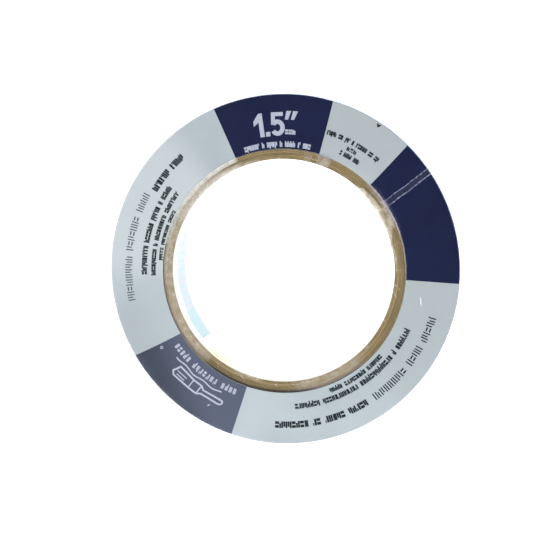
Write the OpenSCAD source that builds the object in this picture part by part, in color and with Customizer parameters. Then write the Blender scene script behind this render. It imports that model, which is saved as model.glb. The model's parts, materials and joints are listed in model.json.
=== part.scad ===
// Roll of painter's masking tape in clear shrink film, lying on its unlabelled side.
// The origin is the centre of the underside, and +Z runs along the roll's axis to the labelled side.

/* [Tape] */
// Width of the tape, which is also the length of the core
tape_width = 38; // [18:1:50]
// Length of tape on the roll, in metres
tape_length_m = 55; // [20:5:60]
// Thickness of the crepe paper with its adhesive
tape_t = 0.103; // [0.095:0.001:0.15]
// Direction of the tape's cut end, in degrees round the roll
tape_end_angle = 205; // [0:5:355]
// Gap between the cut end and the start of the last turn
tape_end_gap = 0.8; // [0.4:0.1:2]

/* [Core] */
// Diameter of the hole through the core, for a 3 in hub
bore_d = 76.2; // [50:0.1:77]
// Thickness of the white liner ply
liner_t = 0.4; // [0.15:0.05:0.5]
// Thickness of each board ply
board_ply_t = 0.6; // [0.35:0.05:0.7]
// Thickness of the kraft cover ply
cover_ply_t = 0.2; // [0.1:0.05:0.3]

/* [Label] */
// Thickness of the printed paper label
label_t = 0.25; // [0.15:0.05:0.4]
// Ring of tape left bare outside the label's edge
label_margin = 0.05; // [0.05:0.05:1]
// Diameter of the hole in the label
label_hole_d = 83.8; // [81.9:0.1:84]
// How far the label's hole sits off the roll's axis
label_hole_offset = 0.35; // [0:0.05:0.8]
// Direction in which the label's hole is off centre, in degrees
label_hole_angle = 300; // [0:5:355]

/* [Film] */
// Thickness of the clear film
film_t = 0.15; // [0.1:0.01:0.2]
// Width of the strip where the film overlaps itself
lap_width = 2; // [1:0.5:5]
// Direction of the lap strip, in degrees round the roll
lap_angle = 33.5; // [15:0.5:75]
// How far the film's edge stops short of the hole in the core
film_edge_setback = 0.05; // [0.05:0.05:1]

/* [Hidden] */
$fn = 128;
BOARD_PLIES = 6;

KRAFT = "#a98f66";
KRAFT_DARK = "#8f764f";
PAPER_WHITE = "#f2f1ec";
TAPE_BLUE = "#3f7fc0";
LABEL_GREY = "#c3d0d6";
FILM_CLEAR = "#e8f0f4";

bore_r = bore_d / 2;
liner_r = bore_r + liner_t;
board_r = liner_r + BOARD_PLIES * board_ply_t;
core_r = board_r + cover_ply_t;
// The wound web keeps its cross-section, so its length and thickness give the roll's radius.
roll_r = sqrt(core_r * core_r + tape_length_m * 1000 * tape_t / PI);

// Levels up the axis: the film under the roll, the tape and core, the label, and the film on top
web_z = film_t;
face_z = web_z + tape_width;
label_top_z = face_z + label_t;
film_top_z = label_top_z + film_t;

label_r = roll_r - label_margin;
// The film drops from the label to the core's end just inside the label's nearest edge
step_r = label_hole_d / 2 - label_hole_offset - 0.1;
film_edge_r = bore_r + film_edge_setback;
film_r = roll_r + film_t;

// A tube standing on the film under the roll, from radius r_in to r_out and h tall.
module web_tube(r_in, r_out, h = tape_width) {
    translate([0, 0, web_z])
        difference() {
            cylinder(r = r_out, h = h);
            translate([0, 0, -1]) cylinder(r = r_in, h = h + 2);
        }
}

// A bar that runs out from the axis along +X, as wide as a strip or gap that crosses the roll.
module radial_bar(width, length, height) {
    translate([0, -width / 2, 0]) cube([length, width, height]);
}

module core_liner() {
    color(PAPER_WHITE) web_tube(bore_r, liner_r);
}

module core_board_ply(i) {
    inner = liner_r + (i - 1) * board_ply_t;
    color(i % 2 == 0 ? KRAFT : KRAFT_DARK) web_tube(inner, inner + board_ply_t);
}

module core_cover_ply() {
    color(KRAFT) web_tube(board_r, core_r);
}

module tape_winding() {
    color(TAPE_BLUE) web_tube(core_r, roll_r - tape_t);
}

// The last turn runs once round and stops at the cut end.
module tape_outer_turn() {
    color(TAPE_BLUE)
        difference() {
            web_tube(roll_r - tape_t, roll_r);
            rotate([0, 0, tape_end_angle])
                translate([0, 0, web_z - 1])
                    radial_bar(tape_end_gap, roll_r + 1, tape_width + 2);
        }
}

module side_label() {
    hole_x = label_hole_offset * cos(label_hole_angle);
    hole_y = label_hole_offset * sin(label_hole_angle);
    color(LABEL_GREY)
        translate([0, 0, face_z])
            difference() {
                cylinder(r = label_r, h = label_t);
                translate([hole_x, hole_y, -1]) cylinder(d = label_hole_d, h = label_t + 2);
            }
}

// One sleeve of film: under the roll, up its outside, over the label and down onto the core's end.
module shrink_film() {
    color(FILM_CLEAR, 0.35)
        rotate_extrude()
            polygon([
                [film_edge_r, 0],
                [film_r, 0],
                [film_r, film_top_z],
                [step_r - film_t, film_top_z],
                [step_r - film_t, face_z + film_t],
                [film_edge_r, face_z + film_t],
                [film_edge_r, face_z],
                [step_r, face_z],
                [step_r, label_top_z],
                [roll_r, label_top_z],
                [roll_r, web_z],
                [film_edge_r, web_z]
            ]);
}

// The second layer of the lap: over the labelled side and down the outside.
module film_lap_seam() {
    color(FILM_CLEAR, 0.5)
        intersection() {
            rotate([0, 0, lap_angle]) radial_bar(lap_width, film_r + 1, film_top_z + film_t);
            rotate_extrude()
                polygon([
                    [step_r - film_t, film_top_z],
                    [film_r, film_top_z],
                    [film_r, web_z],
                    [film_r + film_t, web_z],
                    [film_r + film_t, film_top_z + film_t],
                    [step_r - film_t, film_top_z + film_t]
                ]);
        }
}

core_liner();
for (i = [1 : BOARD_PLIES])
    core_board_ply(i);
core_cover_ply();
tape_winding();
tape_outer_turn();
side_label();
shrink_film();
film_lap_seam();
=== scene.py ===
"""Looks for a roll of painter's masking tape in clear shrink film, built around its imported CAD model.

Shapes are worked out in millimetres and degrees round the roll, and go into Blender in metres.
"""

import json
import math

import bpy
import numpy as np
from mathutils import Matrix, Vector


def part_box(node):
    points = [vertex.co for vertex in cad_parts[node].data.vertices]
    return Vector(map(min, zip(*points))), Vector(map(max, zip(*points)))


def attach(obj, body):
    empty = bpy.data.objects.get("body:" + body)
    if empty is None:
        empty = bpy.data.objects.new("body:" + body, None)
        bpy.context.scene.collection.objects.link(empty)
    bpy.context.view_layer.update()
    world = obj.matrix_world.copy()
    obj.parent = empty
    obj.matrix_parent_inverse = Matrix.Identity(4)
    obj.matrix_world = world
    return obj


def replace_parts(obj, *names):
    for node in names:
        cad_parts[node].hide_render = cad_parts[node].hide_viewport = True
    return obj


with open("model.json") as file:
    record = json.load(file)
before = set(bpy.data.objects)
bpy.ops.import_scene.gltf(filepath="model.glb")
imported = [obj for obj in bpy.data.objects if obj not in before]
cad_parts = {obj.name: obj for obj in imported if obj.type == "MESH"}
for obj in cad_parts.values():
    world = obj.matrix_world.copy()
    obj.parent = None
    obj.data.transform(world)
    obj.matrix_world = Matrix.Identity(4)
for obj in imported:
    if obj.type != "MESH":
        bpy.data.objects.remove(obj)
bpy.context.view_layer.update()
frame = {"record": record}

MM = 0.001
ROOT = "root"
FULL_TURN = 360.0
TAU = 2 * math.pi


def outer_r(node):
    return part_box(node)[1].x / MM


def low_z(node):
    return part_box(node)[0].z / MM


def high_z(node):
    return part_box(node)[1].z / MM


# ---------------- sizes, from the CAD model

BORE_R = next(m for m in frame["record"]["mounts"] if m["name"] == "core_bore")["dims"]["r_mm"]
BOARD_PLIES = [f"core_board_ply_{i}" for i in range(1, 7)]
LINER_R = outer_r("core_liner")
CORE_R = outer_r("core_cover_ply")
ROLL_R = outer_r("tape_outer_turn")
WINDING_R = outer_r("tape_winding")
LABEL_R = outer_r("side_label")
FILM_R = outer_r("shrink_film")
WEB_Z = low_z("tape_winding")
FACE_Z = high_z("tape_winding")
LABEL_Z = high_z("side_label")
FILM_Z = high_z("shrink_film")
MIDDLE_Z = (WEB_Z + FACE_Z) / 2

# The label's hole, as it is in the CAD model
LABEL_HOLE_R = 41.9
LABEL_HOLE_OFFSET = 0.35
LABEL_HOLE_ANGLE = 300.0
# The tape's cut end, as it is in the CAD model
TAPE_END_ANGLE = 205.0
TAPE_END_GAP = 0.8

# The visual film is thinner than the CAD's, so that the print and the crepe fit under it
FILM_T = 0.06
INK_T = 0.02
INK_LIFT = 0.004


# ---------------- number helpers


def smooth(x):
    x = np.clip(x, 0.0, 1.0)
    return x * x * (3.0 - 2.0 * x)


def band(x, low, high, soft):
    """1 between low and high, falling to 0 over soft on each side."""
    return smooth((x - low + soft) / soft) * smooth((high + soft - x) / soft)


def turn(angle, centre):
    """The angle from centre, between -180 and 180 degrees."""
    return (angle - centre + 180.0) % FULL_TURN - 180.0


def polar(angle, r, z):
    """Points in mm at an angle in degrees, a radius and a height, which may be arrays."""
    a = np.radians(angle)
    return np.stack(np.broadcast_arrays(r * np.cos(a), r * np.sin(a), z), -1)


def ring_noise(angle, v, rng, terms=24, turns=(4, 60), v_rate=0.6):
    """Smooth noise of about unit size that closes on itself round the roll."""
    total = 0.0
    for _ in range(terms):
        k = int(rng.integers(*turns))
        total = total + np.cos(np.radians(angle) * k + v * rng.normal(0, v_rate) + rng.uniform(0, TAU))
    return total / math.sqrt(terms / 2)


def held_noise(angle, v, rng, limit=1.0, **settings):
    """ring_noise, held between -limit and limit."""
    return np.clip(ring_noise(angle, v, rng, **settings), -limit, limit)


def hump(x, width):
    """A smooth hill of height 1 at 0."""
    return np.exp(-((x / width) ** 2))


def label_hole(angle):
    """The label's inner radius, whose circle is a little off the roll's axis."""
    d = np.radians(angle - LABEL_HOLE_ANGLE)
    return LABEL_HOLE_OFFSET * np.cos(d) + np.sqrt(LABEL_HOLE_R**2 - (LABEL_HOLE_OFFSET * np.sin(d)) ** 2)


wave_rng = np.random.default_rng(11)
# The label's slow waves: radians per mm, the way each runs and its phase
LABEL_WAVES = [
    (TAU / wave_rng.uniform(9, 26), wave_rng.uniform(0, TAU), wave_rng.uniform(0, TAU)) for _ in range(7)
]
LABEL_WAVE_H = 0.003


def label_top(x, y):
    """Height of the label's printed face: paper that isn't quite flat."""
    z = sum(np.cos(k * (x * math.cos(way) + y * math.sin(way)) + phase) for k, way, phase in LABEL_WAVES)
    return LABEL_Z + LABEL_WAVE_H * z


# ---------------- meshes


def make_piece(name, points, faces, materials, face_material=None, sharp=35.0):
    """A piece of the roll from points in mm. face_material gives each face's material number."""
    me = bpy.data.meshes.new(name)
    me.from_pydata((np.asarray(points, float) * MM).tolist(), [], faces)
    for m in materials:
        me.materials.append(m)
    if face_material is not None:
        me.polygons.foreach_set("material_index", np.asarray(face_material, np.int32))
    me.polygons.foreach_set("use_smooth", np.ones(len(me.polygons), bool))
    me.set_sharp_from_angle(angle=math.radians(sharp))
    me.update()
    ob = bpy.data.objects.new(name, me)
    bpy.context.scene.collection.objects.link(ob)
    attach(ob, ROOT)
    return ob


def sweep(name, rings, materials, closed=True, face_material=None, sharp=35.0):
    """A closed solid from rings[u, v] of points in mm. v runs round each section, anticlockwise when looking
    along the way that u runs, and u runs round the roll. If it isn't closed, both end sections are capped."""
    nu, nv = rings.shape[:2]
    at = np.arange(nu * nv).reshape(nu, nv)
    here, there = (at, np.roll(at, -1, 0)) if closed else (at[:-1], at[1:])
    faces = np.stack([here, there, np.roll(there, -1, 1), np.roll(here, -1, 1)], -1).reshape(-1, 4).tolist()
    if not closed:
        faces.append(at[0].tolist())
        faces.append(at[-1][::-1].tolist())
    return make_piece(name, rings.reshape(-1, 3), faces, materials, face_material, sharp)


def prisms(name, outlines, base, top, materials):
    """Thin flat pieces of ink. Each outline is a list of (angle, across) pairs, anticlockwise on the surface;
    base and top turn arrays of such pairs into points in mm."""
    points, faces = [], []
    for outline in outlines:
        a, v = np.array(outline, float).T
        n, first = len(a), len(points)
        points += base(a, v).tolist() + top(a, v).tolist()
        faces.append([first + n + i for i in range(n)])
        faces.append([first + i for i in reversed(range(n))])
        faces += [[first + i, first + (i + 1) % n, first + n + (i + 1) % n, first + n + i] for i in range(n)]
    return make_piece(name, points, faces, materials, sharp=20.0)


def add_number(ob, name, values):
    """Stores a number at each point of a piece, for its material to read."""
    layer = ob.data.attributes.new(name, "FLOAT", "POINT")
    layer.data.foreach_set("value", np.asarray(values, np.float32).ravel())


# ---------------- materials


def node(nt, kind, inputs=None, **settings):
    """A new node. An input's value is a number, a colour or another node's output."""
    n = nt.nodes.new("ShaderNode" + kind)
    for key, value in settings.items():
        setattr(n, key, value)
    for key, value in (inputs or {}).items():
        if isinstance(value, bpy.types.NodeSocket):
            nt.links.new(value, n.inputs[key])
        else:
            n.inputs[key].default_value = value
    return n


def new_material(name):
    m = bpy.data.materials.new(name)
    m.use_nodes = True
    m.node_tree.nodes.clear()
    return m, m.node_tree


def finish_material(nt, shader):
    out = node(nt, "OutputMaterial")
    nt.links.new(shader, out.inputs["Surface"])


def principled(nt, base, roughness, **sockets):
    """Ends a material with a Principled shader. Other sockets are named with _ for each space."""
    inputs = {"Base Color": base, "Roughness": roughness}
    inputs.update({key.replace("_", " "): value for key, value in sockets.items()})
    finish_material(nt, node(nt, "BsdfPrincipled", inputs).outputs["BSDF"])


def place(nt):
    """Where a point of the surface is, in metres from the roll's origin."""
    return node(nt, "TexCoord").outputs["Object"]


def vector(nt, operation, a, b=None):
    inputs = {0: a} if b is None else {0: a, 1: b}
    return node(nt, "VectorMath", inputs, operation=operation).outputs["Vector"]


def measure(nt, operation, a, b=None):
    """A number worked out from vectors, such as a length, a distance or a dot product."""
    inputs = {0: a} if b is None else {0: a, 1: b}
    return node(nt, "VectorMath", inputs, operation=operation).outputs["Value"]


def noise(nt, where, scale, detail=2.0, roughness=0.5, distortion=0.0):
    looks = {"Scale": scale, "Detail": detail, "Roughness": roughness, "Distortion": distortion}
    return node(nt, "TexNoise", {"Vector": where, **looks}).outputs["Fac"]


def maths(nt, operation, a, b=0.0, clamp=False):
    return node(nt, "Math", {0: a, 1: b}, operation=operation, use_clamp=clamp).outputs["Value"]


def times(nt, a, b, clamp=False):
    return maths(nt, "MULTIPLY", a, b, clamp)


def remap(nt, value, low, high, to_low=0.0, to_high=1.0):
    """value eased from to_low at low to to_high at high."""
    inputs = {"Value": value, "From Min": low, "From Max": high, "To Min": to_low, "To Max": to_high}
    return node(nt, "MapRange", inputs, interpolation_type="SMOOTHSTEP").outputs["Result"]


def remap_mm(nt, value, low, high, to_low=0.0, to_high=1.0):
    """As remap, for a length in metres between limits in mm."""
    return remap(nt, value, low * MM, high * MM, to_low, to_high)


def blend(nt, fac, a, b):
    return node(nt, "Mix", {0: fac, 6: a, 7: b}, data_type="RGBA", blend_type="MIX").outputs[2]


def bump(nt, height, distance):
    return node(nt, "Bump", {"Height": height, "Distance": distance}).outputs["Normal"]


def rgb(red, green, blue):
    """A colour given as sRGB from 0 to 255, as Blender's linear RGBA."""
    linear = [((c / 255 + 0.055) / 1.055) ** 2.4 if c > 10 else c / 255 / 12.92 for c in (red, green, blue)]
    return (*linear, 1.0)


def flat(nt, where):
    """A place with its height taken out."""
    return vector(nt, "MULTIPLY", where, (1.0, 1.0, 0.0))


def radius_of(nt, where):
    return measure(nt, "LENGTH", flat(nt, where))


def ring_place(nt, radius, lane):
    """A place that changes with the radius only. Each lane has its own pattern."""
    return node(nt, "CombineXYZ", {"X": radius, "Y": lane}).outputs["Vector"]


def point_at(angle, r, z=0.0):
    """A fixed point in the unit of r and z, for a node to measure from."""
    return Vector(polar(angle, r, z).tolist())


def sector(nt, where, angle, fade, full):
    """1 within full degrees of one direction round the roll, and 0 beyond fade degrees."""
    near = measure(nt, "DOT_PRODUCT", vector(nt, "NORMALIZE", flat(nt, where)), tuple(point_at(angle, 1.0)))
    return remap(nt, near, math.cos(math.radians(fade)), math.cos(math.radians(full)))


def paper_material(name, colour, deep, rough, grain=0.000012, shine=0.12, gradient=None, zones=()):
    """Printed or plain paper: cloudy ink, fibre grain and specks. gradient is (way, low, high, colour) for a
    colour that changes across the roll. zones are (direction, fade, full, radius where it starts, radius where
    it is full, colour) for painted light and shade, parts made lighter or darker."""
    m, nt = new_material(name)
    where = place(nt)
    cloud = noise(nt, where, 55.0, 3.0, 0.55)
    fibre = noise(nt, where, 2600.0, 4.0, 0.65)
    base = blend(nt, remap(nt, cloud, 0.3, 0.7), colour, deep)
    if gradient:
        way, low, high, other = gradient
        base = blend(nt, remap(nt, measure(nt, "DOT_PRODUCT", where, way), low, high), base, other)
    # Painted light and shade: zones made lighter or darker
    for angle, fade, full, start_r, full_r, other in zones:
        out = remap_mm(nt, radius_of(nt, where), start_r, full_r)
        base = blend(nt, times(nt, sector(nt, where, angle, fade, full), out), base, other)
    speck = remap(nt, noise(nt, where, 5200.0, 1.0), 0.68, 0.80)
    base = blend(nt, times(nt, speck, 0.05), base, rgb(225, 228, 232))
    roughness = remap(nt, fibre, 0.2, 0.8, rough - 0.06, rough + 0.08)
    principled(nt, base, roughness, Normal=bump(nt, fibre, grain), Specular_IOR_Level=shine)
    return m


def label_edge_shade(nt, where):
    """Painted shadow along the label's inner edge, where the label stands above the core: a full line on the
    lower side, and scattered specks elsewhere. All but the side nearest the size numeral also gets painted
    shade that darkens softly towards the edge."""
    level = flat(nt, where)
    reach = measure(nt, "DISTANCE", level, tuple(point_at(LABEL_HOLE_ANGLE, LABEL_HOLE_OFFSET) * MM))
    toward = measure(nt, "DOT_PRODUCT", level, tuple(point_at(258.0, 1.0)))
    line = remap_mm(nt, toward, 34.0, 39.0)
    wide = node(nt, "MapRange", {"Value": line, "To Min": 0.26, "To Max": 0.95}).outputs["Result"]
    line_starts = maths(nt, "SUBTRACT", LABEL_HOLE_R * MM, times(nt, wide, MM))
    near = remap_mm(nt, maths(nt, "SUBTRACT", reach, line_starts), -0.10, 0.22)
    specks = remap(nt, noise(nt, where, 420.0, 3.0, 0.6), 0.44, 0.62, 0.10, 0.75)
    sharp = times(nt, near, maths(nt, "MAXIMUM", times(nt, line, 0.92), specks))
    soft = remap_mm(nt, reach, LABEL_HOLE_R - 1.9, LABEL_HOLE_R - 0.1, 0.0, 0.38)
    soft = times(nt, soft, sector(nt, where, 250.0, 150.0, 110.0))
    low_side = remap_mm(nt, reach, LABEL_HOLE_R - 3.1, LABEL_HOLE_R - 0.2, 0.0, 0.52)
    low_side = times(nt, low_side, sector(nt, where, 256.0, 44.0, 18.0))
    return maths(nt, "MAXIMUM", sharp, maths(nt, "MAXIMUM", soft, low_side))


def board_material(name, light, dark, ply_inner, ply_outer, seed):
    """Brown paperboard, cut across: strands that run round the core, fibre fuzz, darker glued faces and
    painted shadow along the label's inner edge.
    """
    m, nt = new_material(name)
    where = place(nt)
    radius = radius_of(nt, where)
    moved = vector(nt, "ADD", where, (0.013 * seed, 0.007 * seed, 0.0))
    shade = noise(nt, vector(nt, "MULTIPLY", moved, (60.0, 60.0, 240.0)), 1.0, 3.0, 0.6)
    fuzz = noise(nt, moved, 3200.0, 5.0, 0.7)
    strand = noise(nt, ring_place(nt, radius, 0.3 * seed), 6500.0, 2.0, 0.6)
    tone = maths(nt, "ADD", times(nt, shade, 0.55), times(nt, strand, 0.45))
    base = blend(nt, remap(nt, tone, 0.34, 0.66), dark, light)
    past_inner = remap_mm(nt, radius, ply_inner, ply_inner + GLUE_LINE)
    before_outer = remap_mm(nt, radius, ply_outer - GLUE_LINE, ply_outer, 1.0, 0.0)
    glued = times(nt, past_inner, before_outer)
    base = blend(nt, glued, blend(nt, 0.35, dark, rgb(52, 38, 22)), base)
    base = blend(nt, remap(nt, fuzz, 0.62, 0.78, 0.0, 0.35), base, rgb(204, 186, 150))
    # Painted shadow of the label's inner edge, in near-black
    base = blend(nt, label_edge_shade(nt, where), base, rgb(34, 36, 32))
    principled(nt, base, remap(nt, fuzz, 0.2, 0.8, 0.78, 0.95), Normal=bump(nt, fuzz, 0.00004))
    return m


def crepe_material(name, ridge, valley, edge=False):
    """Blue crepe paper. Its wrinkles run along the roll's axis, and the gap at the tape's cut end is shaded.
    With edge, it is the wound tape's side, where the turns show as fine rings."""
    m, nt = new_material(name)
    where = place(nt)
    fibre = noise(nt, where, 3400.0, 4.0, 0.7)
    cloud = noise(nt, where, 42.0, 2.0)
    if edge:
        radius = radius_of(nt, where)
        lines = noise(nt, ring_place(nt, radius, 0.0), 5200.0, 3.0, 0.75)
        wide = noise(nt, ring_place(nt, radius, 1.0), 700.0, 2.0, 0.6)
        pattern = maths(nt, "ADD", times(nt, lines, 0.6), times(nt, wide, 0.4))
    else:
        pattern = noise(nt, vector(nt, "MULTIPLY", where, (1.0, 1.0, 0.13)), 2300.0, 3.0, 0.6, 0.6)
    base = blend(nt, remap(nt, pattern, 0.34, 0.66), valley, ridge)
    base = blend(nt, remap(nt, cloud, 0.25, 0.75, 0.0, 0.22), base, valley)
    if not edge:
        # Painted shadow in the narrow gap at the tape's cut end
        base = blend(nt, sector(nt, where, TAPE_END_ANGLE, 0.42, 0.24), base, rgb(20, 54, 104))
    skin = bump(nt, maths(nt, "ADD", pattern, times(nt, fibre, 0.25)), 0.00005)
    roughness = remap(nt, fibre, 0.2, 0.8, 0.52, 0.72)
    principled(nt, base, roughness, Normal=skin, Specular_IOR_Level=0.4, Sheen_Weight=0.08)
    return m


def ink_material(name, colour, deep, rough=0.42):
    """A film of printing ink, a little uneven over the paper's fibres."""
    m, nt = new_material(name)
    mottle = noise(nt, place(nt), 1900.0, 3.0, 0.6)
    base = blend(nt, remap(nt, mottle, 0.3, 0.72), deep, colour)
    principled(nt, base, remap(nt, mottle, 0.2, 0.8, rough - 0.07, rough + 0.09), Specular_IOR_Level=0.15)
    return m


def scuff_glint_lines(nt, where):
    """Short fine white scratches that also paint small glints on the film, one in each cell of a loose grid,
    each lying its own way.
    """
    cell = node(nt, "TexVoronoi", {"Vector": where, "Scale": 75.0, "Randomness": 1.0}, feature="F1")
    away = vector(nt, "SUBTRACT", where, cell.outputs["Position"])
    chance = node(nt, "SeparateColor", {0: cell.outputs["Color"]}).outputs
    angle = times(nt, chance["Red"], TAU)
    way = node(nt, "CombineXYZ", {"X": maths(nt, "COSINE", angle), "Y": maths(nt, "SINE", angle)})
    along = measure(nt, "DOT_PRODUCT", away, way.outputs["Vector"])
    square = measure(nt, "DOT_PRODUCT", away, away)
    off_square = maths(nt, "SUBTRACT", square, times(nt, along, along))
    off = maths(nt, "SQRT", maths(nt, "MAXIMUM", off_square, 0.0))
    half = remap(nt, chance["Green"], 0.0, 1.0, 0.1 * MM, 1.2 * MM)
    inside = remap_mm(nt, maths(nt, "SUBTRACT", half, maths(nt, "ABSOLUTE", along)), 0.0, 0.3)
    thin = remap_mm(nt, off, 0.10, 0.24, 1.0, 0.0)
    picked = remap(nt, chance["Blue"], 0.45, 0.75)
    return times(nt, times(nt, inside, thin), picked)


def crease_colour(nt, where, low, high, edge_milk_and_highlight):
    """The colour of white creases and painted highlights: brownish over the core's end, the given edge colour
    over the label's inner edge, where the film's step has a painted highlight, bluish over the label, and warm
    and pale where the film is folded over the label's edge."""
    colour = blend(nt, remap(nt, noise(nt, where, 420.0, 3.0), 0.3, 0.7), low, high)
    radius = radius_of(nt, where)
    if edge_milk_and_highlight:
        fold = sector(nt, where, 142.0, 48.0, 34.0)
        # The label's inner edge: whitened film with a painted highlight along its step
        colour = blend(nt, remap_mm(nt, radius, 40.9, 41.6), colour, blend(nt, fold, edge_milk_and_highlight, WARM_MILK))
        colour = blend(nt, remap_mm(nt, radius, 40.0, 40.6), colour, blend(nt, fold, colour, WARM_MILK))
        over_core = remap_mm(nt, radius, 39.8, 40.4, 1.0, 0.0)
        colour = blend(nt, times(nt, sector(nt, where, 130.0, 28.0, 16.0), over_core), colour, PALE_MILK)
        colour = blend(nt, remap_mm(nt, radius, 43.0, 44.4), colour, rgb(206, 214, 226))
    return blend(nt, remap_mm(nt, radius, 59.8, 60.0), colour, rgb(226, 234, 244))


def film_material(name, milk_low, milk_high, edge_milk_and_highlight=None, scuff_glints=True):
    """Clear shrink film. It mirrors a little on the face that light meets first and lets the rest through.
    The point number read below says how far creases turn it white, and also carries painted highlights, sheen
    and glints."""
    m, nt = new_material(name)
    where = place(nt)
    fine = noise(nt, where, 1500.0, 3.0, 0.6)
    skin = bump(nt, maths(nt, "ADD", noise(nt, where, 260.0, 3.0, 0.55), times(nt, fine, 0.18)), 0.00004)
    gloss = node(nt, "BsdfGlossy", {"Color": (1.0, 1.0, 1.0, 1.0), "Roughness": 0.18, "Normal": skin})
    clear = node(nt, "BsdfTransparent", {"Color": (0.99, 0.99, 0.99, 1.0)})
    facing = maths(nt, "SUBTRACT", 1.0, node(nt, "NewGeometry").outputs["Backfacing"])
    share = times(nt, node(nt, "Fresnel", {"IOR": 1.55, "Normal": skin}).outputs["Fac"], facing)
    sheet = node(nt, "MixShader", {0: share, 1: clear.outputs["BSDF"], 2: gloss.outputs["BSDF"]})
    colour = crease_colour(nt, where, milk_low, milk_high, edge_milk_and_highlight)
    rough_skin = bump(nt, fine, 0.00008)
    looks = {"Base Color": colour, "Roughness": 0.42, "Specular IOR Level": 0.3, "Normal": rough_skin}
    crease_and_highlight = node(nt, "BsdfPrincipled", looks)
    milk_and_sheen = node(nt, "Attribute", attribute_name="milk_and_sheen").outputs["Fac"]
    breakup = remap(nt, noise(nt, where, 900.0, 4.0, 0.65), 0.30, 0.62, 0.55, 1.0)
    white = times(nt, milk_and_sheen, breakup, clamp=True)
    # Scratches whitened as painted glints
    if scuff_glints:
        white = maths(nt, "MAXIMUM", white, times(nt, scuff_glint_lines(nt, where), 0.55))
    surface = node(nt, "MixShader", {0: white, 1: sheet.outputs["Shader"], 2: crease_and_highlight.outputs["BSDF"]})
    finish_material(nt, surface.outputs["Shader"])
    return m


# How far a ply's glue darkens it at each face, in mm
GLUE_LINE = 0.07
# White creases where the film is folded over the label's edge, and between that fold and the hole
WARM_MILK = rgb(206, 205, 197)
PALE_MILK = rgb(214, 209, 198)

# Painted light and shade on the grey panels, where they are lighter or darker: direction, fade and full width
# in degrees, radii in mm, colour
GREY_LIGHT_AND_SHADE = [
    (155.0, 33.0, 18.0, 30.0, 40.0, rgb(183, 191, 195)),
    (338.0, 30.0, 16.0, 30.0, 40.0, rgb(164, 173, 177)),
    (59.0, 22.0, 13.0, 38.0, 50.0, rgb(166, 174, 178)),
    (206.0, 19.0, 5.0, 36.0, 60.0, rgb(157, 166, 171)),
]
# The slate panel turns purple along this way across the roll, between these distances in metres
SLATE_FADE = ((0.93, 0.37, 0.0), -0.056, -0.040, rgb(80, 87, 106))

navy_print = paper_material("navy_print", rgb(23, 31, 64), rgb(19, 27, 58), 0.42)
grey_print = paper_material("grey_print", rgb(172, 182, 187), rgb(164, 174, 180), 0.46, zones=GREY_LIGHT_AND_SHADE)
slate_print = paper_material("slate_print", rgb(54, 62, 78), rgb(50, 58, 72), 0.42, gradient=SLATE_FADE)
white_paper = paper_material("white_paper", rgb(238, 237, 232), rgb(228, 227, 220), 0.62, 0.00002, shine=0.35)
pale_ink = ink_material("pale_ink", rgb(178, 184, 200), rgb(162, 169, 186))
dark_ink = ink_material("dark_ink", rgb(24, 32, 38), rgb(36, 46, 52))
slim_ink = ink_material("slim_ink", rgb(70, 82, 90), rgb(88, 100, 108))
blue_ink = ink_material("blue_ink", rgb(176, 206, 224), rgb(190, 216, 230), 0.5)
blue_wash = ink_material("blue_wash", rgb(190, 216, 226), rgb(202, 226, 234), 0.55)
pale_wash = ink_material("pale_wash", rgb(208, 218, 236), rgb(218, 226, 240), 0.55)
crepe_face = crepe_material("crepe_face", rgb(54, 118, 184), rgb(34, 90, 158))
crepe_side = crepe_material("crepe_side", rgb(66, 126, 186), rgb(34, 80, 142), edge=True)
clear_film = film_material("clear_film", rgb(174, 162, 136), rgb(206, 197, 181), edge_milk_and_highlight=rgb(158, 153, 174))
pleat_glint_film = film_material("pleat_glint_film", rgb(222, 226, 232), rgb(236, 240, 244), scuff_glints=False)
weld_film = film_material("weld_film", rgb(138, 148, 188), rgb(178, 186, 218), scuff_glints=False)


# ---------------- camera, at the photograph's viewing angle

CAMERA_AT = Vector((46.24, 35.15, 428.55)) * MM
CAMERA_AIM = Vector((-2.503, -1.324, 38.55)) * MM
IMAGE_UP = Vector((0.0, 1.0, 0.0))


def build_camera():
    data = bpy.data.cameras.new("camera")
    data.sensor_width = 36.0
    data.lens = 75.54
    camera = bpy.data.objects.new("camera", data)
    bpy.context.scene.collection.objects.link(camera)
    ahead = (CAMERA_AIM - CAMERA_AT).normalized()
    right = ahead.cross(IMAGE_UP).normalized()
    turned = Matrix((right, right.cross(ahead), -ahead)).transposed()
    camera.matrix_world = Matrix.Translation(CAMERA_AT) @ turned.to_4x4()
    bpy.context.scene.camera = camera


build_camera()


# ---------------- label

# Borders between the printed panels, as the angle at the label's inner edge and at its outer edge, and what
# follows each border, anticlockwise
PANELS = [
    (-3.49, -3.51, "navy"),
    (44.7, 45.4, "grey"),
    (72.5, 73.4, "navy"),
    (112.6, 113.1, "grey"),
    (211.8, 210.2, "slate"),
    (253.0, 252.7, "grey"),
]
PRINT_OF = {"navy": 0, "grey": 1, "slate": 2}
BARE_PAPER = 3


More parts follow.
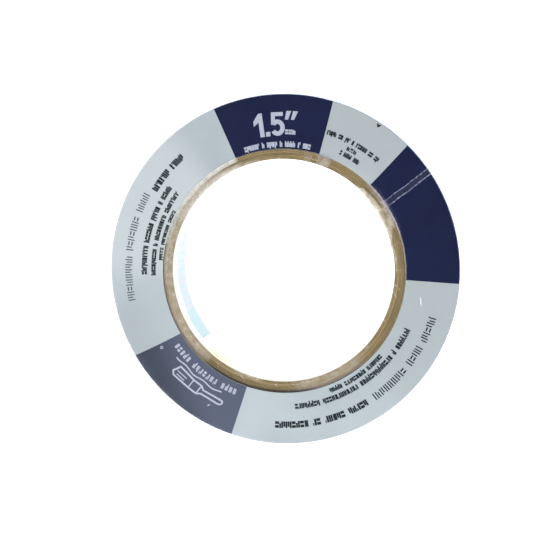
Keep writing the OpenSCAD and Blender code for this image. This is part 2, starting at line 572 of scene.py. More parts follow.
def build_label():
    step, across = 1.0, 15
    inner, outer, print_no = [], [], []
    for i, (a_in, a_out, colour) in enumerate(PANELS):
        next_in, next_out = PANELS[(i + 1) % len(PANELS)][:2]
        if i == len(PANELS) - 1:
            next_in, next_out = next_in + FULL_TURN, next_out + FULL_TURN
        n = round((next_out - a_out) / step)
        part = np.arange(n) / n
        inner += (a_in + (next_in - a_in) * part).tolist()
        outer += (a_out + (next_out - a_out) * part).tolist()
        print_no += [PRINT_OF[colour]] * n
    inner, outer = np.array(inner)[:, None], np.array(outer)[:, None]
    t = np.linspace(0, 1, across)[None, :]
    hole = label_hole(inner)
    top = polar(inner + (outer - inner) * t, hole + (LABEL_R - hole) * t, 0.0)
    top[..., 2] = label_top(top[..., 0], top[..., 1])
    under = top[:, [-1, 0]].copy()
    under[..., 2] = FACE_Z
    rings = np.concatenate([top[:, ::-1], under[:, ::-1]], 1)
    numbers = np.full(rings.shape[:2], BARE_PAPER)
    numbers[:, : across - 1] = np.array(print_no)[:, None]
    papers = [navy_print, grey_print, slate_print, white_paper]
    label = sweep("side_label_print", rings, papers, face_material=numbers.ravel())
    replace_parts(label, "side_label")


build_label()


# ---------------- print on the label


def on_label(lift):
    def at(angle, r):
        p = polar(angle, r, 0.0)
        p[:, 2] = label_top(p[:, 0], p[:, 1]) + lift
        return p

    return at


def label_ink(name, outlines, material):
    base, top = on_label(INK_LIFT), on_label(INK_LIFT + INK_T)
    return prisms(name, outlines, base, top, [material])


def on_arc(shape, centre, base_r):
    """A flat outline in mm, across to the right and up, laid on the label with up pointing outwards."""
    return [(centre - math.degrees(across / (base_r + up)), base_r + up) for across, up in shape]


def box_shape(left, low, right, high):
    return [(left, low), (right, low), (right, high), (left, high)]


def ribbon(path, width, closed=False):
    """The outline of a line of the given width along a path, as four-sided pieces with mitred joints."""
    p = np.array(path, float)
    ahead = np.roll(p, -1, 0) - p
    behind = p - np.roll(p, 1, 0)
    if not closed:
        ahead[-1], behind[0] = behind[-1], ahead[0]
    ahead /= np.linalg.norm(ahead, axis=1)[:, None]
    behind /= np.linalg.norm(behind, axis=1)[:, None]
    along = ahead + behind
    along /= np.linalg.norm(along, axis=1)[:, None]
    side = np.stack([-along[:, 1], along[:, 0]], 1)
    reach = width / 2 / np.maximum((along * ahead).sum(1), 0.5)
    left, right = (p + side * reach[:, None]).tolist(), (p - side * reach[:, None]).tolist()
    n = len(p)
    following = [(i, (i + 1) % n) for i in range(n if closed else n - 1)]
    return [[right[i], right[j], left[j], left[i]] for i, j in following]


def arc(centre, radii, start, end, steps):
    a = np.radians(np.linspace(start, end, steps))
    return [(centre[0] + radii[0] * math.cos(t), centre[1] + radii[1] * math.sin(t)) for t in a]


def numeral():
    """The width of the tape in inches, in bold condensed figures."""
    base, tall = 46.0, 8.0
    stem = 0.76
    one = [(-stem, 0), (stem, 0), (stem, tall), (-0.5, tall), (-2.5, 5.6), (-2.5, 3.9), (-stem, 5.1)]
    point = box_shape(-0.75, 0, 0.75, 1.55)
    bowl = arc((0.0, 2.75), (1.72, 2.0), 148, -148, 22)
    five = ribbon([(1.95, 7.3), (-1.45, 7.3), (-1.5, 3.75)], 1.35) + ribbon(bowl, 1.5)
    left_tick = [(-1.9, 5.4), (-0.8, 5.4), (0.2, 8.35), (-1.5, 8.35)]
    right_tick = [(0.15, 5.4), (1.25, 5.4), (2.5, 8.35), (0.8, 8.35)]
    placed = [([one], 98.35), ([point], 95.95), (five, 91.95), ([left_tick, right_tick], 87.0)]
    return [on_arc(shape, centre, base) for shapes, centre in placed for shape in shapes]


def print_row(words, start, end, low_r, high_r, fill, capitals, rng, heavy):
    """Bars and blocks that stand for a line of print and spell nothing. Words of the given lengths run
    clockwise from start to end, between two radii. fill is the part of each place that its blocks take up."""
    pitch = (start - end) / (sum(words) + len(words) - 1)
    tall = high_r - low_r
    body = tall if capitals else tall * 0.9
    tail = 0.0 if capitals else -tall * 0.2
    wide = math.radians(pitch) * low_r * fill
    bar = wide * (0.47 if heavy else 0.30)
    far = wide - bar
    cells = [
        [(0, 0, bar, tall), (far, 0, wide, body * 0.8)],
        [(0, 0, bar, body), (far, 0, wide, body)],
        [(0, tail, bar, body), (far, body * 0.25, wide, body)],
    ]
    if heavy:
        cells.append([(0, 0, wide * 0.92, body)])
        cells.append([(0, 0, wide, body * 0.42), (0, body * 0.58, wide, body)])
        cells.append([(0, 0, wide * 0.55, body), (wide * 0.7, body * 0.6, wide, tall)])
    else:
        cells.append([(0, body * 0.2, wide, body * 0.4), (0, body * 0.65, wide, body * 0.85)])
    shapes = []
    at = start
    for word in words:
        for _ in range(word):
            cell = cells[rng.integers(len(cells))]
            shapes += [on_arc(box_shape(*block), at, low_r) for block in cell]
            at -= pitch
        at -= pitch
    return shapes


def brush_emblem():
    """A plain outline of a paint brush with a stroke of paint under it, and a small ring beside it."""
    centre, base, line = 232.0, 51.0, 0.62
    handle = arc((-11.0, 0.0), (1.0, 0.85), 90, 270, 8)
    lower_edge = [(-4.0, -0.75), (-2.6, -1.7), (0.8, -1.7), (7.2, -2.0), (8.6, 0.9)]
    upper_edge = [(7.6, 1.9), (0.8, 1.7), (-2.6, 1.7), (-4.0, 0.75)]
    shapes = ribbon(handle + lower_edge + upper_edge, line, closed=True)
    inner_lines = [
        ([(-2.6, -1.4), (-2.6, 1.4)], 0.7),
        ([(0.8, -1.4), (0.8, 1.4)], 0.7),
        ([(3.4, 0.75), (6.9, 0.85)], 0.6),
        ([(3.0, -0.35), (7.4, -0.2)], 0.6),
        ([(x, -3.3 + 0.28 * math.sin(x * 0.8)) for x in np.linspace(-9.5, 10.5, 26)], 0.8),
    ]
    for path, part in inner_lines:
        shapes += ribbon(path, line * part)
    ring_at, ring_r, ring_size, ring_line = 212.7, 50.25, 0.42, 0.28
    ring = ribbon(arc((0, 0), (ring_size, ring_size), 0, 345, 24), ring_line, closed=True)
    return [on_arc(s, centre, base) for s in shapes] + [on_arc(s, ring_at, ring_r) for s in ring]


# A small chevron near the label's outer edge, as directions and radii
CHEVRON = [(56.7, 59.25), (57.4, 59.6), (57.25, 58.8), (56.65, 58.15), (56.1, 58.9), (56.0, 59.6)]
# Every piece of print, its ink, whether its strokes are heavy, and its rows. A row has the words' lengths, the
# directions of its start and end, its lower and upper radius, how full each place is and if it is in capitals.
PRINT = [
    ("size_numeral", pale_ink, True, [
        ([3], 88.9, 84.5, 46.5, 48.1, 0.92, True),
        ([6, 1, 4, 1, 4, 1, 3], 107.5, 77.2, 42.25, 44.2, 0.98, False),
    ]),
    ("brush_emblem", pale_ink, True, []),
    ("emblem_words", pale_ink, True, [([4, 7, 5], 249.0, 214.5, 44.3, 46.5, 0.66, False)]),
    ("left_rows", dark_ink, True, [
        ([6, 4], 148.3, 131.2, 51.0, 53.3, 0.95, True),
        ([10, 7, 5, 1, 5], 182.0, 143.5, 47.3, 49.3, 0.94, False),
        ([9, 1, 9, 8], 182.5, 143.5, 44.2, 45.9, 0.96, False),
        ([5, 8, 5], 175.5, 151.3, 42.0, 43.3, 0.97, False),
    ]),
    ("left_line", slim_ink, False, [([9, 7, 4], 191.6, 150.4, 52.5, 55.0, 0.78, True)]),
    ("lower_rows", dark_ink, True, [
        ([5, 5, 2, 8], 303.3, 267.2, 52.2, 54.5, 0.95, True),
        ([7, 1, 13, 12, 8], 335.8, 275.3, 46.1, 48.1, 0.93, False),
        ([7, 9, 5], 319.9, 291.7, 43.4, 45.1, 0.96, False),
    ]),
    ("lower_line", dark_ink, False, [([5, 4, 8], 343.4, 306.0, 52.0, 54.6, 0.80, True)]),
    ("upper_rows", dark_ink, True, [
        ([4, 2, 2, 1, 5, 2, 2], 72.2, 49.2, 48.75, 50.5, 1.0, False),
        ([3], 62.4, 57.8, 46.4, 47.8, 0.84, True),
        ([1, 4, 3], 64.3, 54.9, 44.1, 45.7, 0.98, True),
    ]),
]


def build_print():
    rng = np.random.default_rng(5)
    drawn = {"size_numeral": numeral(), "brush_emblem": brush_emblem(), "upper_rows": [CHEVRON]}
    for name, ink, heavy, rows in PRINT:
        shapes = drawn.get(name, [])
        for row in rows:
            shapes = shapes + print_row(*row, rng, heavy)
        label_ink("print_" + name, shapes, ink)


build_print()


# ---------------- core


def tube_rings(r_in, r_out, angles, rows=2, ends=2, bevel=0.05, wear=0.0, seed=1):
    """Sections of a tube as tall as the core, with softened rims. wear says how uneven its cut ends are."""
    rng = np.random.default_rng(seed)
    a = angles[:, None]
    end_r = np.linspace(r_in + bevel, r_out - bevel, ends)
    rough_top = wear * ring_noise(a, np.arange(ends)[None, :] * 0.9, rng, turns=(5, 150))
    rough_low = wear * ring_noise(a, np.arange(ends)[None, :] * 0.9, rng, turns=(5, 150))
    wall = np.linspace(WEB_Z + bevel + 2 * wear, FACE_Z - bevel - 2 * wear, rows)
    ones = np.ones_like(a)
    inside = polar(a, r_in, wall[None, :] * ones)
    top = polar(a, end_r[None, :] * ones, FACE_Z - np.abs(rough_top))
    outside = polar(a, r_out, wall[None, ::-1] * ones)
    bottom = polar(a, end_r[None, ::-1] * ones, (WEB_Z + np.abs(rough_low))[:, ::-1])
    return np.concatenate([inside, top, outside, bottom], 1)


# How light each board ply is, at its lightest and its darkest
BOARD_TONES = [(142, 108), (154, 118), (138, 104), (150, 116), (144, 110), (156, 120)]


def build_core():
    angles = np.arange(720) * 0.5
    inner = LINER_R
    for i, (name, (light, dark)) in enumerate(zip(BOARD_PLIES, BOARD_TONES, strict=True)):
        outer = outer_r(name)
        pale, deep = rgb(light + 10, light - 10, light - 48), rgb(dark + 4, dark - 10, dark - 42)
        m = board_material(f"board_{i + 1}", pale, deep, inner, outer, i + 1)
        rings = tube_rings(inner, outer, angles, ends=3, wear=0.035, seed=20 + i)
        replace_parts(sweep(f"board_ply_{i + 1}", rings, [m], sharp=60), name)
        inner = outer
    # Darker than the plies: kraft's own brown, and painted shade where the cover meets the label's edge
    m = board_material("kraft_cover", rgb(120, 100, 70), rgb(84, 68, 46), inner, CORE_R, 9)
    rings = tube_rings(inner, CORE_R, angles, bevel=0.04, wear=0.03, seed=40)
    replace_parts(sweep("kraft_cover_ply", rings, [m], sharp=60), "core_cover_ply")


build_core()


# ---------------- liner, the white inner wall of the core

LINER_SEAM_AT = 262.0
LINER_SEAM_RISE = 118.0


def liner_material():
    """White-faced liner board: fibres, cloudy tone and a glue stain that has bled through near the rim. Its
    cut ends are brown behind the white face."""
    m, nt = new_material("liner_board")
    where = place(nt)
    fibre = noise(nt, where, 2100.0, 4.0, 0.65)
    cloud = noise(nt, vector(nt, "MULTIPLY", where, (1.0, 1.0, 2.2)), 34.0, 3.0)
    base = blend(nt, remap(nt, cloud, 0.3, 0.7), rgb(240, 240, 236), rgb(249, 249, 246))
    reach = measure(nt, "DISTANCE", where, tuple(point_at(234.0, BORE_R, FACE_Z - 3.0) * MM))
    stain = times(nt, remap_mm(nt, reach, 0.0, 10.0, 1.0, 0.0), remap(nt, cloud, 0.35, 0.65, 0.35, 0.9))
    base = blend(nt, stain, base, rgb(244, 232, 196))
    speck = remap(nt, noise(nt, where, 3900.0, 2.0), 0.66, 0.80, 0.0, 0.35)
    base = blend(nt, speck, base, rgb(206, 196, 172))
    height = node(nt, "SeparateXYZ", {0: where}).outputs["Z"]
    level = maths(nt, "ABSOLUTE", maths(nt, "SUBTRACT", height, MIDDLE_Z * MM))
    at_end = remap_mm(nt, level, FACE_Z - MIDDLE_Z - 0.12, FACE_Z - MIDDLE_Z - 0.07)
    behind = remap_mm(nt, radius_of(nt, where), BORE_R + 0.07, BORE_R + 0.17)
    cut = blend(nt, remap(nt, fibre, 0.35, 0.65), rgb(116, 99, 66), rgb(150, 130, 92))
    base = blend(nt, times(nt, at_end, behind), base, cut)
    principled(nt, base, remap(nt, fibre, 0.2, 0.8, 0.60, 0.80), Normal=bump(nt, fibre, 0.00003))
    return m


def build_liner():
    """The liner, with the fine spiral gap and lap where its strip meets itself."""
    angles = np.arange(900) * 0.4
    rows = 26
    rings = tube_rings(BORE_R, LINER_R, angles, rows=rows, ends=3, wear=0.02, seed=61)
    a, z = angles[:, None], rings[:, :rows, 2]
    along = turn(a, LINER_SEAM_AT + (z - WEB_Z) / (FACE_Z - WEB_Z) * LINER_SEAM_RISE)
    gap = 0.13 * hump(along, 0.55)
    lap = 0.03 * band(along, 0.6, 9.0, 2.5)
    rings[:, :rows] = polar(a, BORE_R + gap + lap, z)
    liner = sweep("core_liner_wall", rings, [liner_material(), white_paper], sharp=60)
    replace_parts(liner, "core_liner")


build_liner()


def on_bore(depth):
    def at(angle, z):
        return polar(angle, BORE_R - depth, z)

    return at


# The pale print along the inner wall: direction, lowest and highest point
LINER_BAND = [
    (160.7, 24.6, 25.4),
    (163.5, 22.4, 29.0),
    (167.0, 21.0, 31.0),
    (175.0, 19.2, 30.0),
    (189.0, 18.8, 29.4),
    (196.0, 18.2, 28.4),
    (203.0, 17.8, 29.0),
    (209.0, 17.2, 30.4),
    (219.8, 18.2, 30.8),
]
BAND_LINE = 0.55
# A short stroke on the inner wall near the rim, as directions and heights
LINER_TICK = [(231.5, 35.95), (233.7, 35.25), (233.6, 34.9), (231.4, 35.6)]


def build_liner_print():
    """A long pale blue band on the inner wall, outlined and barred, which stands for the maker's print."""
    at, low, high = (np.array(c) for c in zip(*LINER_BAND, strict=True))
    spots = np.linspace(at[0], at[-1], 90)
    z0, z1 = np.interp(spots, at, low), np.interp(spots, at, high)

    def strip(i, bottom, top):
        """A piece of the band between two spots."""
        a0, a1 = spots[i], spots[i + 1]
        return [(a1, bottom[i + 1]), (a1, top[i + 1]), (a0, top[i]), (a0, bottom[i])]

    pale, deep, edge = [], [], []
    for i in range(len(spots) - 1):
        fill = deep if spots[i + 1] > 204.0 or i % 7 == 3 else pale
        fill.append(strip(i, z0, z1))
        edge += [strip(i, z0 - BAND_LINE, z0), strip(i, z1, z1 + BAND_LINE)]
    edge.append(box_shape(spots[-1], z0[-1] - BAND_LINE, spots[-1] + 0.8, z1[-1] + BAND_LINE))
    for name, outlines, ink, thick in (
        ("print_pale", pale, pale_wash, 0.020),
        ("print_deep", deep, blue_wash, 0.020),
        ("print_outline", edge, blue_ink, 0.020),
        ("tick_mark", [LINER_TICK], slim_ink, 0.022),
    ):
        prisms(f"liner_{name}", outlines, on_bore(0.004), on_bore(thick), [ink])


build_liner_print()


# ---------------- tape


def build_winding():
    """All turns but the last. Its underside shows the edges of the turns as fine uneven rings."""
    rng = np.random.default_rng(31)
    a = np.arange(360)[:, None] * 1.0
    ridge_r = np.linspace(CORE_R, WINDING_R, 110)
    steps = rng.normal(0, 1, len(ridge_r))
    slow = np.convolve(rng.normal(0, 1, len(ridge_r) + 12), np.ones(13) / 13, "valid") * 3.0
    uneven = 1 + 0.25 * ring_noise(a, ridge_r[None, :] * 0.3, rng, terms=8, turns=(1, 6))
    depth = 0.035 * np.abs(0.5 * steps + slow)[None, :] * uneven
    under = polar(a, ridge_r[None, :], WEB_Z + np.clip(depth, 0.0, 0.16))
    top = polar(a, np.array([WINDING_R, CORE_R])[None, :], FACE_Z)
    rings = np.concatenate([under[:, ::-1], top[:, ::-1]], 1)
    numbers = np.zeros(rings.shape[:2], int)
    numbers[:, [-3, -1]] = 1
    looks = [crepe_side, crepe_face]
    winding = sweep("tape_wound_turns", rings, looks, face_material=numbers.ravel(), sharp=50)
    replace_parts(winding, "tape_winding")


def build_last_turn():
    """The last turn, with crepe wrinkles across the tape and a cut end."""
    rng = np.random.default_rng(32)
    columns = 2000
    half_gap = math.degrees(TAPE_END_GAP / 2 / ROLL_R)
    a = TAPE_END_ANGLE + half_gap + np.linspace(0, FULL_TURN - 2 * half_gap, columns)[:, None]
    z = np.linspace(WEB_Z + 0.02, FACE_Z - 0.02, 25)
    coarse = rng.normal(0, 1, (columns, 7))
    coarse = coarse + 0.6 * np.roll(coarse, 1, 0)
    knots = np.linspace(z[0], z[-1], coarse.shape[1])
    part = np.clip(np.searchsorted(knots, z) - 1, 0, len(knots) - 2)
    t = smooth((z - knots[part]) / (knots[part + 1] - knots[part]))[None, :]
    crinkle = coarse[:, part] * (1 - t) + coarse[:, part + 1] * t
    flat_rim = band(z, z[0] + 0.3, z[-1] - 0.3, 0.3)[None, :]
    outside = polar(a, ROLL_R - 0.020 * np.abs(crinkle) * flat_rim, z[None, :])
    inside = polar(a, WINDING_R + 0.004, np.array([z[-1], z[0]])[None, :])
    rings = np.concatenate([outside, inside], 1)[:, ::-1]
    last = sweep("tape_last_turn", rings, [crepe_face], closed=False, sharp=50)
    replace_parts(last, "tape_outer_turn")


build_winding()
build_last_turn()


# ---------------- film

# Where the film's creases gather at the hole, as (start, end, creases per degree, height, reach)
CREASE_ZONES = [
    (-14.0, 50.0, 0.22, 0.24, 42.0),
    (50.0, 112.0, 0.20, 0.18, 41.2),
    (112.0, 232.0, 0.16, 0.12, 40.8),
    (232.0, 268.0, 0.35, 0.20, 41.0),
    (268.0, 346.0, 0.18, 0.14, 40.9),
]
LIP_R = BORE_R + 0.05
OVER_CORE_Z = FACE_Z + FILM_Z - LABEL_Z
SHOULDER_TOP = 0.40
SHOULDER_LOW = 0.30
LAP_INNER_ANGLE, LAP_OUTER_ANGLE = 33.45, 34.7
# Where the film is bunched up at the hole, and where a broad fold of it covers the label's edge
BUNCHED_AT = 20.0
BROAD_FOLD_AT = 131.0


def lap_angle(r):
    """Direction of the middle of the film's lap, which drifts a little across the label."""
    part = np.clip((r - 42.4) / (FILM_R - 42.4), -0.1, 1.0)
    return LAP_INNER_ANGLE + (LAP_OUTER_ANGLE - LAP_INNER_ANGLE) * part


def creases(rng):
    """Every fold at the hole: its direction, half widths, height, reach and slant."""
    out = []
    for start, end, each_degree, tall, reach in CREASE_ZONES:
        for _ in range(round((end - start) * each_degree)):
            centre = rng.uniform(start, end)
            left, right = rng.uniform(0.16, 0.42), rng.uniform(0.30, 0.95)
            height, far = tall * rng.uniform(0.35, 1.0), reach + rng.uniform(-0.8, 1.4)
            out.append((centre, left, right, height, far, rng.normal(0, 1.6)))
    return out


def crease_height(angle, r, folds):
    h = np.zeros(np.broadcast(angle, r).shape)
    for centre, left, right, tall, reach, slant in folds:
        d = turn(angle, centre + slant * (r - LIP_R)) * np.radians(1) * r
        width = np.where(d < 0, left, right) * (1 + 0.12 * (r - LIP_R))
        fade = smooth((reach - r) / (reach - LIP_R - 0.6))
        h = np.maximum(h, tall * hump(d, width) * fade)
    return h


def bunched(angle):
    """How far the film is gathered into a thick lip at the hole: 1 on the side nearest the lap."""
    d = turn(angle, BUNCHED_AT)
    return smooth((d + 36.0) / 34.0) * smooth((31.0 - d) / 8.0)


def long_folds(angle, r):
    """Folds that run round the hole where the film is gathered, as a height in mm."""
    d = turn(angle, BUNCHED_AT)
    first = LIP_R + 0.75 + 1.1 * smooth((4.0 - d) / 34.0)
    second = LIP_R + 1.75 - 0.9 * smooth((d - 2.0) / 22.0)
    folds = [(first, 0.16, 0.45), (second, 0.07, 0.25), (label_hole(angle) + 0.45, 0.05, 0.40)]
    return bunched(angle) * sum(tall * hump(r - at, wide) for at, tall, wide in folds)


# Where the gathered film has turned white beside the lap: direction, and how far out from the hole
SWATH = [
    (10.0, 0.0),
    (13.0, 0.35),
    (17.0, 0.75),
    (20.0, 1.5),
    (24.0, 2.6),
    (26.5, 3.6),
    (31.5, 3.6),
    (33.0, 1.7),
    (46.0, 1.3),
    (48.5, 0.0),
]
# Milky patches where the film has cockled: direction, half width, inner and outer radius, amount
PATCHES = [
    (33.3, 1.3, 38.0, 39.4, 0.95),
    (69.5, 2.4, 38.0, 41.7, 0.44),
    (77.5, 1.2, 38.0, 41.0, 0.25),
    (109.0, 6.0, 38.0, 38.9, 0.30),
    (127.0, 4.0, 38.0, 41.0, 0.35),
    (251.0, 7.0, 38.0, 38.8, 0.45),
    (227.5, 2.0, 38.4, 40.4, 0.30),
    (297.0, 2.2, 38.9, 39.6, 0.35),
    (317.0, 2.0, 38.6, 39.3, 0.25),
]
# Broad painted sheen on the film over the core's end: direction, half width, amount
SHEEN_HAZE = [(178.0, 44.0, 0.40), (294.0, 12.0, 0.32)]


def near_way(angle, centre, half, soft):
    """1 within half degrees of a direction, falling to 0 over soft degrees."""
    return band(turn(angle, centre), -half, half, soft)


def whiteness_and_sheen(angle, r, rng):
    """How white the film is where it is creased, from 0 to 1, with painted highlights and sheen among it."""
    streak = 0.5 + 0.5 * held_noise(angle, r * 1.4, rng, turns=(30, 190), v_rate=1.0)
    soft = 0.5 + 0.5 * held_noise(angle, r * 0.7, rng, turns=(5, 40))
    d = turn(angle, BUNCHED_AT)
    hole = label_hole(angle)
    at, reach = np.array(SWATH).T
    out = LIP_R + np.interp(d + BUNCHED_AT, at, reach, left=0.0, right=0.0)
    gap = hump(d - 9.4 + 1.6 * (r - 39.9), 1.7) * hump(r - 39.9, 0.45)
    swath = smooth((out - r) / 0.40 + 0.5) * smooth((out - LIP_R) / 0.3) * (0.66 + 0.20 * soft)
    swath = swath * (1 - 0.85 * gap)
    # A thin line that leaves the hole's edge and fades
    line_r = LIP_R + 0.25 + 0.55 * smooth((-3.0 - d) / 12.0)
    line = band(d, -16.0, -3.0, 5.0) * hump(r - line_r, 0.20) * (0.35 + 0.25 * streak)
    # The film drawn over the label's edge, with a painted highlight along its step, strongest beside the lap
    strength = 0.07 + 0.46 * band(d, 4.0, 20.0, 9.0) + 0.30 * band(d, 12.0, 16.0, 2.0)
    inner_edge = hole - 0.25 - 0.5 * band(d, 8.0, 22.0, 6.0)
    edge_highlight = band(d, -23.0, 26.0, 6.0) * band(r, inner_edge, hole + 0.10, 0.22)
    edge_highlight = edge_highlight * strength * (0.6 + 0.4 * streak)
    # Painted sheen that lightens the film over the core's end
    sheen_haze = sum(amount * near_way(angle, centre, half, 10.0) for centre, half, amount in SHEEN_HAZE)
    sheen_haze = sheen_haze * smooth((hole - 0.35 - r) / 0.3)
    patches = sum(
        amount * near_way(angle, centre, half, 1.5) * band(r, inner, outer, 0.3)
        for centre, half, inner, outer, amount in PATCHES
    )
    patches = patches * (0.55 + 0.45 * streak)
    # The broad pale fold over the label's edge, and the film drawn thin and white at the hole below it
    fold = turn(angle, BROAD_FOLD_AT)
    depth = 1.20 - 0.75 * smooth((fold - 14.0) / 26.0)
    bright = (0.86 - 0.40 * smooth((fold - 10.0) / 22.0)) * (0.85 + 0.15 * streak)
    glare = band(fold, -16.0, 34.0, 4.0) * band(r, hole - depth, hole + 0.05, 0.16) * bright
    pale_lip = 0.70 * band(fold, -14.0, 18.0, 9.0) * smooth((40.3 - r) / 2.0)
    layers = (swath, line, edge_highlight, sheen_haze, patches, pale_lip, glare)
    shape = np.broadcast(angle, r).shape
    return np.clip(np.maximum.reduce([np.broadcast_to(x, shape) for x in layers]), 0.0, 0.95)


def film_columns():
    """Directions round the roll, closer together where the film is creased."""
    spots, at = [], -20.0
    while at < 340.0:
        spots.append(at)
        at += 0.22 if at < 54.0 else 0.5
    return np.array(spots)


def rounded_edge(degrees, radius, middle_z, lift=0.0):
    """Points round an edge of the film: radius, height and the way each faces."""
    ways = [(math.cos(t), math.sin(t)) for t in np.radians(degrees)]
    reach = radius + lift
    return [(FILM_R - radius + reach * cos, middle_z + reach * sin, cos, sin) for cos, sin in ways]


def film_profile():
    """The film's outer surface in section, from its lip at the hole, over the label, down the outside and
    under the roll to the lip below: each point's radius, height and the way it faces, and its zone."""
    label = np.concatenate([np.linspace(43.1, 49.5, 9), np.linspace(51.0, FILM_R - SHOULDER_TOP - 0.3, 6)])
    wall = np.linspace(FILM_Z - SHOULDER_TOP - 0.8, SHOULDER_LOW + 0.8, 9)
    zones = {
        "core": [(r, OVER_CORE_Z, 0, 1) for r in np.linspace(LIP_R, LIP_R + 2.2, 12)],
        "step": [(LABEL_HOLE_R + past, OVER_CORE_Z, 0, 1) for past in np.linspace(-0.45, 0.35, 8)],
        "label": [(r, FILM_Z, 0, 1) for r in label],
        "shoulder": rounded_edge([90, 66, 44, 22, 0], SHOULDER_TOP, FILM_Z - SHOULDER_TOP),
        "wall": [(FILM_R, z, 1, 0) for z in wall],
        "low_shoulder": rounded_edge([0, -30, -60, -90], SHOULDER_LOW, SHOULDER_LOW),
        "under": [(r, 0.0, 0, -1) for r in np.linspace(FILM_R - 1.2, 42.4, 7)],
        "under_core": [(r, 0.0, 0, -1) for r in np.linspace(41.4, LIP_R, 8)],
    }
    rows = np.array([row for part in zones.values() for row in part], float)
    return rows, np.array([name for name, part in zones.items() for _ in part])


def build_film():
    rng = np.random.default_rng(77)
    folds = creases(rng)
    a = film_columns()[:, None]
    rows, zone = film_profile()

    def within(*names):
        """Marks the points of the section that lie in any of these zones."""
        return np.isin(zone, names)[None, :]

    hole = label_hole(a)
    r = rows[:, 0] + np.where(within("step"), hole - LABEL_HOLE_R, 0.0)
    rise = smooth((r - hole + 0.35) / 0.55)
    z = np.where(within("core", "step"), OVER_CORE_Z + (FILM_Z - OVER_CORE_Z) * rise, rows[:, 1])

    # Folds, the gathered lip and its ragged edge, on the labelled side
    inner_side = within("core", "step", "label")
    fold_h = crease_height(a, r, folds) * inner_side
    lump = bunched(a)
    swell = long_folds(a, r) * inner_side
    ragged = 0.75 + 0.25 * held_noise(a, 0.0, rng, turns=(5, 34))
    near_lip = smooth(LIP_R + 1.0 - r) * inner_side
    reach_in = near_lip * (0.06 + 0.26 * lump) * ragged
    droop = near_lip**2 * (0.10 + 0.25 * lump)
    tension = smooth((47.0 - r) / 6.0) * smooth((r - 40.6) / 1.5) * inner_side * (0.004 + 0.008 * lump)
    tension = tension * (1 + held_noise(a, r * 0.1, rng, turns=(30, 120), v_rate=0.05))

    # Slow waves over the label, the outside and the underside
    wave = 0.010 * (1 + 0.5 * held_noise(a, r * 0.35, rng, 2.0, turns=(3, 26), v_rate=0.5))
    wave = wave * within("step", "label")
    on_wall = within("wall")
    to_rim = np.minimum(z, FILM_Z - z)
    gather = 0.045 * np.exp(-to_rim / 1.6)
    gather = gather * np.clip(ring_noise(a, z * 0.05, rng, turns=(40, 170), v_rate=0.3), 0, 2)
    wall_wave = on_wall * (0.02 * (1 + 0.5 * held_noise(a, z * 0.12, rng, 2.0, turns=(2, 18))) + gather)
    pucker = 0.006 * within("under") + 0.028 * within("under_core")
    lift = pucker * (1 + held_noise(a, r * 0.4, rng, turns=(20, 160), v_rate=0.3))

    whitened_and_sheen = whiteness_and_sheen(a, r, rng)
    outer = polar(a, r + wall_wave - reach_in, z + fold_h + swell + tension + wave + lift - droop)

    # The film's inner surface, a thickness in from the outer one
    along_u = np.roll(outer, -1, 0) - np.roll(outer, 1, 0)
    normal = np.cross(along_u, np.gradient(outer, axis=1))
    normal /= np.linalg.norm(normal, axis=2, keepdims=True) + 1e-12
    outward = polar(a, 1.0, 0.0) * rows[:, 2:3] + np.array([0, 0, 1.0]) * rows[:, 3:4]
    normal *= np.sign((normal * outward).sum(2, keepdims=True))
    inner = outer - normal * FILM_T
    keep = np.ones(len(rows), bool)
    keep[1:-1:2] = False
    rings = np.concatenate([outer, inner[:, keep][:, ::-1]], 1)
    film = sweep("shrink_film_sleeve", rings[:, ::-1], [clear_film], sharp=80)

    milk_and_sheen = whitened_and_sheen * inner_side
    milk_and_sheen = np.maximum(milk_and_sheen, 0.22 * within("under_core") * np.clip(lift / 0.05, 0, 1))
    milk_and_sheen = np.maximum(milk_and_sheen, on_wall * np.clip(gather / 0.5, 0, 0.05))
    add_number(film, "milk_and_sheen", np.concatenate([milk_and_sheen, milk_and_sheen[:, keep][:, ::-1]], 1)[:, ::-1])
    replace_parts(film, "shrink_film")


build_film()

# The lap's weld width and level in mm, and points across its two edges: how far each lies from the edge in
# weld widths, its height in mm and how white it is
WELD = 0.15
LAP_LEVEL = 0.015
LEFT_WELD = [(-1.0, 0.0, 0.28), (-0.3, 0.09, 0.76), (0.5, 0.08, 0.64), (1.3, LAP_LEVEL, 0.02)]
RIGHT_WELD = [(-1.3, LAP_LEVEL, 0.02), (-0.5, 0.10, 0.84), (0.3, 0.11, 0.92), (1.0, 0.0, 0.42)]


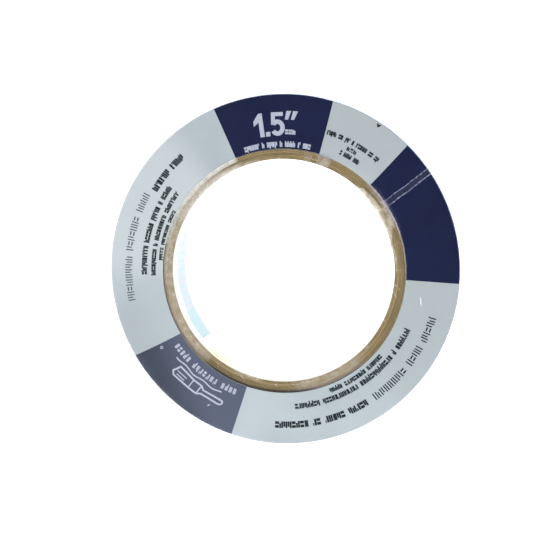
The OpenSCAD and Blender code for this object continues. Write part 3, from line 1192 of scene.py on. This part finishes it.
def build_lap():
    """The second layer of film at the lap, with a raised weld along each edge."""
    rng = np.random.default_rng(91)
    spots = [(r, FILM_Z + 0.012, 0.0, 1.0) for r in np.linspace(41.4, FILM_R - SHOULDER_TOP - 0.1, 60)]
    spots += rounded_edge([70, 45, 20], SHOULDER_TOP, FILM_Z - SHOULDER_TOP, lift=0.02)
    spots += [(FILM_R + 0.07, z, 1.0, 0.0) for z in np.linspace(FILM_Z - 0.9, WEB_Z + 0.3, 26)]
    r, z, face_r, face_z = np.array(spots).T
    travel = np.concatenate([[0], np.cumsum(np.hypot(np.diff(r), np.diff(z)))])
    middle = lap_angle(r)

    def wander(knots):
        """Random values of unit size along the strip, in straight lines from knot to knot."""
        return np.interp(travel, np.linspace(0, travel[-1], knots), rng.normal(0, 1, knots))

    wide = np.interp(travel, [0, travel[-1] * 0.3, travel[-1]], [1.07, 0.95, 0.95])
    left = 0.10 * wander(26) - wide
    right = 0.10 * wander(26) + wide
    across = [(left + part * WELD, tall, white) for part, tall, white in LEFT_WELD]
    across += [(left + (right - left) * part, LAP_LEVEL + 0.012, 0.015) for part in (0.35, 0.65)]
    across += [(right + part * WELD, tall, white) for part, tall, white in RIGHT_WELD]
    across += [(across[-1][0], -0.006, 0.04), (across[0][0], -0.006, 0.04)]
    sheen = 0.62 + 0.38 * np.clip(wander(130), -1, 1)

    def point(offset, lift):
        return polar(middle - np.degrees(offset / r), r + lift * face_r, z + lift * face_z)

    rings = np.stack([point(offset, tall) for offset, tall, _ in across], 1)
    milk_and_sheen = np.array([white for *_, white in across]) * sheen[:, None]
    milk_and_sheen[:, -2:] = 0.04
    lap = sweep("film_lap_strip", rings[:, ::-1], [weld_film], closed=False, sharp=80)
    add_number(lap, "milk_and_sheen", milk_and_sheen[:, ::-1])
    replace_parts(lap, "film_lap_seam")


build_lap()


def build_small_crease():
    """A short pleat in the film over the grey panel beside the lap's navy one, white as a painted highlight.
    """
    at_angle, at_r, slant = -11.8, 48.1, math.radians(-38.0)
    x = np.linspace(-1.7, 1.7, 12)
    y = 0.55 * np.sin(x * 0.8)
    slim = 0.24 * np.sqrt(np.clip(1 - (x / 1.75) ** 2, 0.01, 1))
    x, y = np.concatenate([x, x[::-1]]), np.concatenate([y - slim, (y + slim)[::-1]])
    angle = at_angle + np.degrees((x * math.cos(slant) - y * math.sin(slant)) / at_r)
    r = at_r + x * math.sin(slant) + y * math.cos(slant)
    outline = list(zip(angle, r, strict=True))[::-1]

    def at(height):
        return lambda angle, r: polar(angle, r, height)

    base, top = at(FILM_Z + 0.022), at(FILM_Z + 0.05)
    pleat = prisms("film_small_pleat", [outline], base, top, [pleat_glint_film])
    # Nearly full white: the pleat's painted highlight
    add_number(pleat, "milk_and_sheen", np.full(len(pleat.data.vertices), 0.95))


build_small_crease()


# ---------------- floor and light


def floor_material():
    m, nt = new_material("pale_floor")
    cloud = noise(nt, place(nt), 2.0, 2.0)
    base = blend(nt, remap(nt, cloud, 0.2, 0.8), rgb(226, 226, 226), rgb(231, 231, 231))
    white = (1.0, 1.0, 1.0, 1.0)
    principled(nt, base, 0.9, Specular_IOR_Level=0.1, Emission_Color=white, Emission_Strength=0.55)
    return m


def build_floor():
    half, drop = 4.0, -0.00012
    me = bpy.data.meshes.new("floor")
    me.from_pydata([(x, y, drop) for x, y in box_shape(-half, -half, half, half)], [], [(0, 1, 2, 3)])
    me.materials.append(floor_material())
    floor = bpy.data.objects.new("floor", me)
    bpy.context.scene.collection.objects.link(floor)


def build_world():
    """A pale studio: soft light from a wide ring overhead, and dark straight above to keep the print deep."""
    world = bpy.data.worlds.new("studio")
    world.use_nodes = True
    nt = world.node_tree
    nt.nodes.clear()
    way = node(nt, "TexCoord").outputs["Generated"]
    up = node(nt, "SeparateXYZ", {0: way}).outputs["Z"]
    level = times(nt, remap(nt, up, 0.40, 0.55, 1.00, 1.12), remap(nt, up, 0.88, 0.945, 1.0, 0.02))
    sky = node(nt, "Background", {"Color": (1.0, 1.0, 1.0, 1.0), "Strength": level})
    out = node(nt, "OutputWorld")
    nt.links.new(sky.outputs["Background"], out.inputs["Surface"])
    bpy.context.scene.world = world


def add_light(name, at, size, power):
    """A round lamp aimed at the roll's middle."""
    data = bpy.data.lights.new(name, "AREA")
    data.shape = "DISK"
    data.size = size
    data.energy = power
    lamp = bpy.data.objects.new(name, data)
    lamp.location = at
    lamp.rotation_mode = "QUATERNION"
    aim = Vector((0.0, 0.0, FACE_Z / 2 * MM))
    lamp.rotation_quaternion = (aim - Vector(at)).to_track_quat("-Z", "Y")
    bpy.context.scene.collection.objects.link(lamp)
    return lamp


build_floor()
build_world()
add_light("key", (-0.42, -0.32, 0.50), 0.60, 2.3)
low_fill = add_light("low_fill", (0.04, -0.52, 0.42), 0.34, 2.4)
low_fill.visible_glossy = False

scene = bpy.context.scene
scene.view_settings.view_transform = "Standard"
scene.view_settings.look = "None"
scene.view_settings.exposure = 0.0
scene.view_settings.gamma = 1.0
